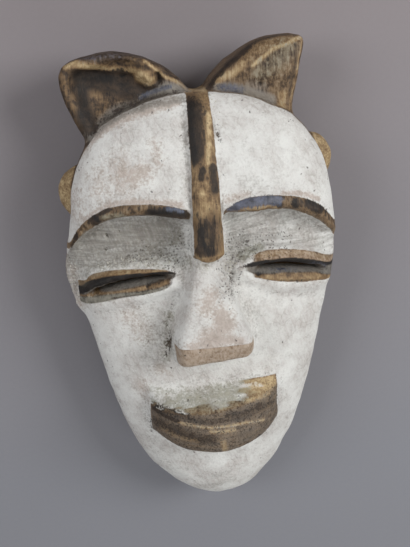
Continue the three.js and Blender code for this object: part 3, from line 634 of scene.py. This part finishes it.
        ("worn", 0.75, 4.0, [(-4, 8), (0, 14), (-2, 10)]),  # higher up the ridge
        ("kaolin", 1, 1.1, [(-4, -1), (-7, -4.5)]),  # a fleck of clay on the ridge
        ("kaolin", 0.9, 0.7, [(-8.5, -0.5), (-10, -4)]),  # a smaller one
        ("kaolin", 0.9, 0.7, [(-4, 3), (-3, 3)]),  # a third
        ("grey", 0.5, 2.0, [(-23, -9), (-24, -21)]),  # painted shade on the left wing
    ],
    "mouth": [
        ("green", 0.75, 4.0, [(-21, -55), (-10, -54), (1, -53), (9, -53)]),  # greenish grey on the slope
        ("ochre", 0.98, 4.6, [(17, -51), (25, -51), (35, -52)]),  # bare ochre at the right of the slope
        ("ochre", 0.9, 1.3, [(18.5, -56.5), (26.5, -57), (33.5, -57)]),  # its gold edge
        # ochre along the foot of the slope
        ("ochre", 0.6, 2.0, [(-31, -55), (-24, -57), (-15, -58), (-8, -59)]),
        # dark upper lip
        ("dark", 0.5, 2.3, [(-36, -59), (-27, -61), (-17, -62), (-5, -64), (7, -64), (18, -64),
            (28, -63), (35, -63)]),
        ("dark", 0.6, 1.3, [(-36, -58.5), (-27, -59), (-18.5, -61)]),  # the darker edge of it
        ("dark", 0.6, 2.0, [(5, -62), (18, -62), (26, -61)]),  # and on the right
        ("dark", 0.6, 4.0, [(-35, -70), (-25, -72), (-12, -76), (-5, -76)]),  # dark lower lip
        ("soot_and_slit_shade", 0.45, 1.3, [(-36, -60), (-24, -62.5), (-10, -64.5)]),  # black along the upper lip
        ("dark", 0.3, 3.3, [(9, -76), (20, -77), (33, -79)]),  # the lower lip's right half
        # the light line between the lips: worn wood along the lower lip's edge, with a painted highlight
        ("ochre", 1.1, 0.9, [(-23.5, -65.5), (-13.5, -67), (-5.5, -68), (4.5, -68.5), (16.5, -68.5),
            (28, -71.5)]),
        # its palest part, a painted highlight
        ("kaolin", 0.5, 0.6, [(-14, -67), (-5.5, -68), (4.5, -69), (16.5, -69), (26, -71)]),
        ("ochre", 0.72, 2.4, [(-33, -73), (-24, -76), (-14, -77)]),  # brown showing through on the left
        ("dark", 0.8, 1.4, [(-38, -61), (-33, -63), (-24, -65)]),  # soot at the left corner
        ("ochre", 1, 1.1, [(-5.5, -70.5), (1.5, -71.5), (9.5, -71.5)]),  # the light line's broad middle, worn wood with a painted highlight
        ("ochre", 0.9, 2.0, [(2, -79), (3, -86)]),  # an orange rub on the lower lip
        ("ochre", 0.6, 1.3, [(11.5, -84.5), (20.5, -87)]),  # a paler one beside it
    ],
}
parts.update({"face": face, "ear_foot": ear_foot / np.maximum(front, 0.2)})
for part, strokes in STROKES.items():
    for name, strength, half, line in strokes:
        here = soft(1.15 * half - stroke_distance(line), max(half, 0.9)) * parts[part] * front
        paint[name] = np.maximum(paint[name], strength * here)
# Pits, cuts and the brow's grooves are painted dark: painted shade in the holes and cracks, with a dark
# knot and some dirt.
paint["dark"] = np.maximum.reduce([paint["dark"], pitted * (1 - 0.3 * face), 0.5 * groove_dirt_and_shade * brow])
for name, value in paint.items():
    even.attributes.new(name, "FLOAT", "POINT").data.foreach_set("value", np.clip(value, 0, 1))
print(sum(map(len, STROKES.values())), "strokes on", len(points), "points")

# %% [markdown]
# Materials. One helper adds a node, sets it and links it, so a material reads from its wood up
# to its dirt and painted shade. Sizes are in millimetres of the real thing: object coordinates
# are metres, so a pattern of s mm has the scale 1000 / s.

# %% Helpers for materials
def linear(code):
    """An sRGB hex colour as linear RGBA."""
    parts_of = [int(code[i:i + 2], 16) / 255 for i in (1, 3, 5)]
    return (*[c / 12.92 if c <= 0.04045 else ((c + 0.055) / 1.055) ** 2.4 for c in parts_of], 1)


def add(tree, kind, feeds=None, out=0, **settings):
    """One node with its settings, given back as its output. A feed is a value for a socket or a
    socket to link to it. A kind without Node in its name is a shader node."""
    node = tree.nodes.new(kind if "Node" in kind else "ShaderNode" + kind)
    for name, value in settings.items():
        setattr(node, name, value)
    for name, value in (feeds or {}).items():
        if isinstance(value, bpy.types.NodeSocket):
            tree.links.new(value, node.inputs[name])
        else:
            node.inputs[name].default_value = value
    return node.outputs[out] if len(node.outputs) else node


def new_material(name):
    """A material and its tree, still empty."""
    material = bpy.data.materials.new(name)
    material.use_nodes = True
    material.node_tree.nodes.clear()
    return material, material.node_tree


# %% [markdown]
# The wood is a light, open-grained tropical wood that has gone brown: long dull fibres along
# the mask, darker pores a third of a millimetre wide. Over it lie thin matt earth paints. The
# paints are layers: each has an attribute that says where, a mottle that makes its edge ragged
# and two tones that it wanders between. Kaolin is a dry white clay, so it is nearly matt; bare
# wood and the other paints have a slight polish from hands, and the slate blue has the most.

# %% The painted wood
wood, tree = new_material("kaolin_and_soot_on_carved_wood")
place = add(tree, "TexCoord", out="Object")
along = add(tree, "Mapping", {"Vector": place, "Scale": (1, 0.1, 1)})
BRUSH = {"Vector": place, "Rotation": (0, 0, 0.35), "Scale": (1, 7, 1)}  # strokes 7 times as long
brushed = add(tree, "Mapping", BRUSH, vector_type="TEXTURE")
fanned = add(tree, "Attribute", attribute_name="scrape_way", out="Vector")
NOISES = {  # where, mm, detail, roughness, and the range that is stretched to 0..1
    "fibres": (along, 1.1, 4, 0.6, 0.34, 0.66),
    "mottle": (place, 4.5, 6, 0.68, 0.34, 0.66),
    "cloud": (place, 17, 5, 0.62, 0.36, 0.64),
    "grit": (place, 1.3, 3, 0.6, 0.34, 0.66),
    "streaks": (brushed, 1.7, 4, 0.62, 0.36, 0.64),
    "scrapes": (fanned, 1.5, 4, 0.55, 0.38, 0.62),
}
noise = {}
for name, (where, size, detail, roughness, low, high) in NOISES.items():
    feeds = {"Vector": where, "Scale": 1000 / size, "Detail": detail, "Roughness": roughness}
    made = add(tree, "TexNoise", feeds)
    noise[name] = add(tree, "MapRange", {"Value": made, "From Min": low, "From Max": high})
fibres, mottle, cloud, grit, streaks, scrapes = noise.values()

ATTRIBUTES = ("ochre", "grain", "speckle", "scraped", "crusty")
at = {name: add(tree, "Attribute", attribute_name=name, out="Fac") for name in ATTRIBUTES}
grained = add(tree, "Mix", {0: at["grain"], 2: grit, 3: fibres}, data_type="FLOAT")
tone = add(tree, "Math", {0: grained, 1: 0.34, 2: -0.17}, operation="MULTIPLY_ADD")
tone = add(tree, "Math", {0: mottle, 1: 0.4, 2: tone}, operation="MULTIPLY_ADD")
tone = add(tree, "Math", {0: tone, 1: -0.2}, operation="ADD")
tone = add(tree, "Math", {0: tone, 1: at["ochre"]}, operation="ADD")
colour = add(tree, "ValToRGB", {0: tone})
stops = colour.node.color_ramp.elements
stops[0].position, stops[0].color = 0.06, linear("#261d17")  # burnt or sooty wood
stops[1].position, stops[1].color = 1.05, linear("#cdb58c")  # rubbed ochre
for position, code in ((0.3, "#51402f"), (0.56, "#846a4b"), (0.8, "#a88f69")):
    stops.new(position).color = linear(code)

LAYERS = [  # attribute, main tone, second tone, cover, mottle, softness of its edge
    ("kaolin", "#eeeeea", "#dedcd8", 1.0, 0.35, 0.2),
    ("green", "#7f8070", "#a09c86", 0.75, 0.9, 0.45),
    ("worn", "#b19e90", "#cbbcb1", 0.75, 1.0, 0.45),
    # grey also paints shade: in the sockets, the cut beside the band and the nose's left wing
    ("grey", "#a39e95", "#87837c", 0.85, 0.7, 0.5),
    ("dark", "#0c0a0a", "#453629", 0.97, 1.0, 0.25),
    # soot, and the black of the eye slits, which is painted shade
    ("soot_and_slit_shade", "#0b0a0a", "#221d1a", 0.92, 0.9, 0.3),
    ("blue", "#6b7388", "#343945", 0.9, 0.9, 0.3),
    # dirt in the grooves, together with painted shade in the creases
    ("groove_dirt_and_shade", "#4a3c2e", "#5a4c3c", 0.5, 0.8, 0.5),
]
cover_of = {}
for name, first, second, cover, ragged, edge in LAYERS:
    where = add(tree, "Attribute", attribute_name=name, out="Fac")
    shift = add(tree, "Math", {0: mottle, 1: 0.5 * ragged, 2: where}, operation="MULTIPLY_ADD")
    broken = add(tree, "Math", {0: grained, 1: 0.6 * ragged, 2: shift}, operation="MULTIPLY_ADD")
    low, high = 0.5 + 0.55 * ragged - edge, 0.5 + 0.55 * ragged + edge
    feeds = {"Value": broken, "From Min": low, "From Max": high, "To Max": cover}
    bound = add(tree, "MapRange", feeds, interpolation_type="SMOOTHSTEP")
    present = add(tree, "MapRange", {"Value": where, "From Max": 0.12})
    cover_of[name] = add(tree, "Math", {0: bound, 1: present}, operation="MULTIPLY")
    wander = {"kaolin": cloud, "worn": streaks, "grey": streaks}.get(name, mottle)
    tones = add(tree, "Mix", {0: wander, 6: linear(first), 7: linear(second)}, data_type="RGBA", out=2)
    if name == "kaolin":  # thin places let the wood's warmth through, in streaks and clouds
        thin_at = add(tree, "Math", {0: streaks, 1: cloud}, operation="MULTIPLY")
        feeds = {"Value": thin_at, "From Min": 0.15, "From Max": 1.0, "To Max": 0.45}
        thin_at = add(tree, "MapRange", feeds)
        tones = add(tree, "Mix", {0: thin_at, 6: tones, 7: linear("#b9ada6")}, data_type="RGBA", out=2)
    colour = add(tree, "Mix", {0: cover_of[name], 6: colour, 7: tones}, data_type="RGBA", out=2)

# %% [markdown]
# Old clay crazes as it dries, and grit and soot settle in the cracks. A cell pattern's borders
# make the crazing, bent by noise and shown only in patches, and another pattern's random cells
# make the specks, which crowd where the crust is thick, near the nose's root.

# %% Crazing, specks and the surface
CRAZE_CELL, SPECK_CELL = 6.5, 1.7  # mm
ONE_TO_NONE = {"To Min": 1.0, "To Max": 0.0}
bend = add(tree, "TexNoise", {"Vector": place, "Scale": 1000 / 5, "Detail": 4}, out="Color")
bent = add(tree, "VectorMath", {0: bend, 1: (0.006, 0.006, 0.006), 2: place}, operation="MULTIPLY_ADD")
borders = {"Vector": bent, "Scale": 1000 / CRAZE_CELL}
cells = add(tree, "TexVoronoi", borders, feature="DISTANCE_TO_EDGE")
crack = add(tree, "MapRange", {"Value": cells, "From Min": 0.0, "From Max": 0.05, **ONE_TO_NONE})
patchy = add(tree, "MapRange", {"Value": cloud, "From Min": 0.35, "From Max": 0.8})
crack = add(tree, "Math", {0: crack, 1: patchy}, operation="MULTIPLY")
crack = add(tree, "Math", {0: crack, 1: cover_of["kaolin"]}, operation="MULTIPLY")
craze = add(tree, "Math", {0: crack, 1: 0.28}, operation="MULTIPLY")
colour = add(tree, "Mix", {0: craze, 6: colour, 7: linear("#8f8578")}, data_type="RGBA", out=2)
speck = add(tree, "TexVoronoi", {"Vector": bent, "Scale": 1000 / SPECK_CELL}).node.outputs
dot = {"Value": speck["Distance"], "From Min": 0.2, "From Max": 0.42, **ONE_TO_NONE}
near_speck = add(tree, "MapRange", dot)
chance = add(tree, "SeparateColor", {0: speck["Color"]})
limit = add(tree, "Math", {0: at["speckle"], 1: -0.7, 2: 0.992}, operation="MULTIPLY_ADD")
chosen = add(tree, "Math", {0: chance, 1: limit}, operation="GREATER_THAN")
speck_on = add(tree, "Math", {0: near_speck, 1: chosen}, operation="MULTIPLY")
speck_on = add(tree, "Math", {0: speck_on, 1: 0.75}, operation="MULTIPLY")
colour = add(tree, "Mix", {0: speck_on, 6: colour, 7: linear("#3a3026")}, data_type="RGBA", out=2)

furrow = add(tree, "Math", {0: at["scraped"], 1: scrapes}, operation="MULTIPLY")
shaded = add(tree, "Math", {0: furrow, 1: 0.35}, operation="MULTIPLY")
colour = add(tree, "Mix", {0: shaded, 6: colour, 7: linear("#6c675c")}, data_type="RGBA", out=2)
crusted = add(tree, "Math", {0: at["crusty"], 1: grit}, operation="MULTIPLY")
height = add(tree, "Math", {0: grained, 1: 0.3}, operation="MULTIPLY")
for source, weight in ((streaks, 0.25), (cover_of["kaolin"], 0.5), (grit, 0.2), (mottle, 0.35),
                       (crack, -0.4), (furrow, -1.7), (crusted, 1.2)):
    height = add(tree, "Math", {0: source, 1: weight, 2: height}, operation="MULTIPLY_ADD")
bump = add(tree, "Bump", {"Height": height, "Strength": 0.65, "Distance": 0.55 * MM})
polish = add(tree, "Math", {0: cover_of["kaolin"], 1: 0.28, 2: 0.62}, operation="MULTIPLY_ADD")
shine = add(tree, "Math", {0: cover_of["blue"], 1: -0.25, 2: polish}, operation="MULTIPLY_ADD")
feeds = {"Base Color": colour, "Roughness": shine, "Normal": bump, "IOR": 1.5}
add(tree, "OutputMaterial", {"Surface": add(tree, "BsdfPrincipled", feeds)})
print("painted wood:", len(tree.nodes), "nodes")

# %% [markdown]
# The hollow behind the face was never painted. It is raw gouged wood, brown from handling and
# paler on its high places, so it gets a finish of its own on the faces that look into it.

# %% The raw wood of the hollow
raw, tree = new_material("raw_gouged_wood")
place = add(tree, "TexCoord", out="Object")
along = add(tree, "Mapping", {"Vector": place, "Scale": (1, 0.07, 1)})
feeds = {"Vector": along, "Scale": 1000 / 1.6, "Detail": 5, "Roughness": 0.62}
fibres = add(tree, "TexNoise", feeds)
feeds = {"Vector": place, "Scale": 1000 / 30, "Detail": 4, "Roughness": 0.6}
stain = add(tree, "TexNoise", feeds)
tone = add(tree, "Math", {0: stain, 1: 0.5, 2: fibres}, operation="MULTIPLY_ADD")
brown = add(tree, "ValToRGB", {0: tone})
stops = brown.node.color_ramp.elements
stops[0].position, stops[0].color = 0.45, linear("#4b3826")
stops[1].position, stops[1].color = 1.0, linear("#a3825a")
bump = add(tree, "Bump", {"Height": fibres, "Strength": 0.6, "Distance": 0.5 * MM})
feeds = {"Base Color": brown, "Roughness": 0.78, "Normal": bump, "IOR": 1.5}
add(tree, "OutputMaterial", {"Surface": add(tree, "BsdfPrincipled", feeds)})
print("raw wood:", len(tree.nodes), "nodes")

# %% The mask as one piece with its two finishes
even.materials.append(wood)
even.materials.append(raw)
first_corner = np.empty(len(even.polygons), dtype=np.int64)
even.polygons.foreach_get("loop_start", first_corner)
corner_point = np.empty(len(even.loops), dtype=np.int64)
even.loops.foreach_get("vertex_index", corner_point)
in_hollow = hollow[corner_point[first_corner]] > 0.5
even.polygons.foreach_set("material_index", in_hollow.astype(np.int32))
even.polygons.foreach_set("use_smooth", np.ones(len(even.polygons), dtype=bool))
even.name = "carved_mask"
mask = bpy.data.objects.new("carved_mask", even)
bpy.context.scene.collection.objects.link(mask)
print("carved mask:", len(triangles), "triangles,", int(in_hollow.sum()), "faces in the hollow")

# %% [markdown]
# Crumbs of dried clay still stick in the corners of the carving: beside the right eye, over the
# left one, at both ends of the band, at the right brow and on the rough temple. They are all
# the same kind of thing, scattered over a surface, so Geometry Nodes make them: points spread
# by the "crumbs" attribute, each with a small lump turned and sized at random, all made real in
# the end.

# %% Crumbs of old clay
clay, tree = new_material("dry_kaolin_clay")
place = add(tree, "TexCoord", out="Object")
grains = add(tree, "TexNoise", {"Vector": place, "Scale": 1000 / 0.8, "Detail": 3})
feeds = {0: grains, 6: linear("#b9b4a6"), 7: linear("#e3e1d8")}
tones = add(tree, "Mix", feeds, data_type="RGBA", out=2)
bump = add(tree, "Bump", {"Height": grains, "Strength": 0.4, "Distance": 0.2 * MM})
feeds = {"Base Color": tones, "Roughness": 0.95, "Normal": bump, "IOR": 1.5}
add(tree, "OutputMaterial", {"Surface": add(tree, "BsdfPrincipled", feeds)})

CRUMBS = [  # strength, half width in mm, line in plan
    (1, 4, [(13, 26), (14, 34)]),  # the right eye's inner corner
    (0.9, 3, [(-6, 33), (6, 33)]),  # where the band ends
    (0.8, 2.5, [(-60, 30), (-38, 33), (-20, 32)]),  # over the left eye
    (1, 4, [(-79, 6), (-80, 15), (-79, 26)]),  # the left temple
    (0.8, 1.2, [(8, 121), (9, 116), (11, 106)]),  # the top of the band's right edge
    (0.6, 1.6, [(11, 68), (22, 70)]),  # the right brow's inner end
]
crumbly = sum(strength * soft(half - stroke_distance(line), 1.5) for strength, half, line in CRUMBS)
crumbly = np.clip(crumbly, 0, 1) * np.clip(face + temple, 0, 1) * front
even.attributes.new("crumbs", "FLOAT", "POINT").data.foreach_set("value", crumbly)

INPUTS = {  # of the node group: kind and value
    "Crumb size": ("NodeSocketFloat", 0.55 * MM),
    "Crumbs per square metre": ("NodeSocketFloat", 260000.0),
    "Seed": ("NodeSocketInt", 5),
}
scatter = bpy.data.node_groups.new("crumbs_of_clay", "GeometryNodeTree")
scatter.interface.new_socket("Geometry", in_out="INPUT", socket_type="NodeSocketGeometry")
for name, (kind, value) in INPUTS.items():
    scatter.interface.new_socket(name, in_out="INPUT", socket_type=kind).default_value = value
scatter.interface.new_socket("Geometry", in_out="OUTPUT", socket_type="NodeSocketGeometry")
given = add(scatter, "NodeGroupInput").node.outputs
wanted = add(scatter, "GeometryNodeInputNamedAttribute", {"Name": "crumbs"}, data_type="FLOAT")
seed = given["Seed"]
feeds = {0: wanted, 1: given["Crumbs per square metre"]}
density = add(scatter, "Math", feeds, operation="MULTIPLY")
feeds = {"Mesh": given["Geometry"], "Density": density, "Seed": seed}
spread = add(scatter, "GeometryNodeDistributePointsOnFaces", feeds)
feeds = {"Radius": given["Crumb size"], "Subdivisions": 2}
lump = add(scatter, "GeometryNodeMeshIcoSphere", feeds)
feeds = {"Min": (0, 0, 0), "Max": (6.2, 6.2, 6.2), "Seed": seed}
turn = add(scatter, "FunctionNodeRandomValue", feeds, data_type="FLOAT_VECTOR")
feeds = {"Min": (0.35, 0.35, 0.3), "Max": (1.2, 1.0, 0.8), "Seed": seed}
grow = add(scatter, "FunctionNodeRandomValue", feeds, data_type="FLOAT_VECTOR")
feeds = {"Points": spread, "Instance": lump, "Rotation": turn, "Scale": grow}
put = add(scatter, "GeometryNodeInstanceOnPoints", feeds)
real = add(scatter, "GeometryNodeRealizeInstances", {"Geometry": put})
dressed = add(scatter, "GeometryNodeSetMaterial", {"Geometry": real, "Material": clay})
add(scatter, "NodeGroupOutput", {0: dressed})

bed = bpy.data.objects.new("crumb_bed", even.copy())
bpy.context.scene.collection.objects.link(bed)
nodes = bed.modifiers.new("crumbs", "NODES")
nodes.node_group = scatter
for item in scatter.interface.items_tree:
    if item.name in INPUTS:
        nodes[item.identifier] = INPUTS[item.name][1]
scattered = bed.evaluated_get(bpy.context.evaluated_depsgraph_get())
crumb_mesh = bpy.data.meshes.new_from_object(scattered)
bpy.data.objects.remove(bed)
crumb_mesh.name = "clay_crumbs"
crumbs = bpy.data.objects.new("clay_crumbs", crumb_mesh)
bpy.context.scene.collection.objects.link(crumbs)
print("clay crumbs:", len(crumb_mesh.polygons), "faces")

# %% [markdown]
# Both pieces belong to the one rigid body. The carved mask stands for the CAD solid, which stays
# in the physics model, and the crumbs ride along on it.

# %% Handing the pieces to the frame
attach(mask, "root")
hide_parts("mask")
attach(crumbs, "root")

# %% [markdown]
# The stage is a plain pale sheet. A stronger softbox stands at the right and a weaker one at
# the left, both a little toward the head and halfway up, so two broad soft shadows fall. Two
# larger ones fill from the chin's side, and two faint ones from above and from beyond the head.
# The camera looks down from the head's side, 20 degrees off the vertical, as a hand-held one
# would over a table.

# %% Sheet, light and camera
SHEET_REACH = 3  # m, from its middle to each side
HEAD_END, CHIN_END = 0.25, -0.15  # m along Y, between which the sheet's tone changes
sheet, tree = new_material("plain_paper_sheet")
place = add(tree, "TexCoord", out="Object")
tooth = add(tree, "TexNoise", {"Vector": place, "Scale": 1000 / 2.5, "Detail": 3})
head_end = add(tree, "SeparateXYZ", {0: place}, out=1)
head_end = add(tree, "MapRange", {"Value": head_end, "From Min": CHIN_END, "From Max": HEAD_END})
feeds = {0: head_end, 6: linear("#8c8d94"), 7: linear("#948b8c")}
shade = add(tree, "Mix", feeds, data_type="RGBA", out=2)
feeds = {0: head_end, 6: linear("#909197"), 7: linear("#988f90")}
pale = add(tree, "Mix", feeds, data_type="RGBA", out=2)
tones = add(tree, "Mix", {0: tooth, 6: shade, 7: pale}, data_type="RGBA", out=2)
shader = add(tree, "BsdfPrincipled", {"Base Color": tones, "Roughness": 0.9})
add(tree, "OutputMaterial", {"Surface": shader})
ground = bpy.data.meshes.new("sheet")
corners = [(x * SHEET_REACH, y * SHEET_REACH, 0) for x, y in ((-1, -1), (1, -1), (1, 1), (-1, 1))]
ground.from_pydata(corners, [], [(0, 1, 2, 3)])
ground.materials.append(sheet)
floor = bpy.data.objects.new("sheet", ground)
bpy.context.scene.collection.objects.link(floor)

LIGHT_DISTANCE = 1.1  # m from the origin
AIM = Vector((0, 0, 0.03))
LIGHTS = [  # name, turn from the right and rise in degrees, power in watts, colour, size in m
    ("right_softbox", 27, 43, 6.8, "#ffffff", 0.5),
    ("left_softbox", 150, 45, 3.9, "#fdfdff", 0.5),
    ("right_fill", -58, 36, 3.3, "#fffefc", 0.8),
    ("left_fill", 212, 38, 1.3, "#fbfcff", 0.8),
    ("top_fill", 0, 88, 0.7, "#ffffff", 0.8),
    ("head_fill", 88, 30, 0.9, "#fffaf6", 0.8),
]
for name, turn, rise, power, code, size in LIGHTS:
    light = bpy.data.lights.new(name, "AREA")
    light.size = size
    light.energy = power
    light.color = linear(code)[:3]
    lamp = bpy.data.objects.new(name, light)
    turn, rise = math.radians(turn), math.radians(rise)
    flat = Vector((math.cos(turn), math.sin(turn), 0)) * math.cos(rise)
    where = (flat + Vector((0, 0, math.sin(rise)))) * LIGHT_DISTANCE
    facing = (where - AIM).to_track_quat("Z", "Y").to_matrix().to_4x4()
    lamp.matrix_world = Matrix.Translation(where) @ facing
    bpy.context.scene.collection.objects.link(lamp)

world = bpy.data.worlds.new("room")
bpy.context.scene.world = world
world.use_nodes = True
background = world.node_tree.nodes["Background"].inputs
background["Color"].default_value = linear("#e4e6ea")
background["Strength"].default_value = 0.02
bpy.context.scene.view_settings.view_transform = "Standard"

CAMERA_PLACE = (-0.039944, 0.172348, 0.474678)  # m
CAMERA_TURN = (-19.6922, -6.4038, -3.0129)  # degrees about X, Y and Z, from looking straight down
camera = bpy.data.cameras.new("camera")
camera.lens = 50
camera.sensor_width = 36
looking = bpy.data.objects.new("camera", camera)
turned_by = Euler([math.radians(turn) for turn in CAMERA_TURN]).to_matrix().to_4x4()
looking.matrix_world = Matrix.Translation(CAMERA_PLACE) @ turned_by
bpy.context.scene.collection.objects.link(looking)
bpy.context.scene.camera = looking
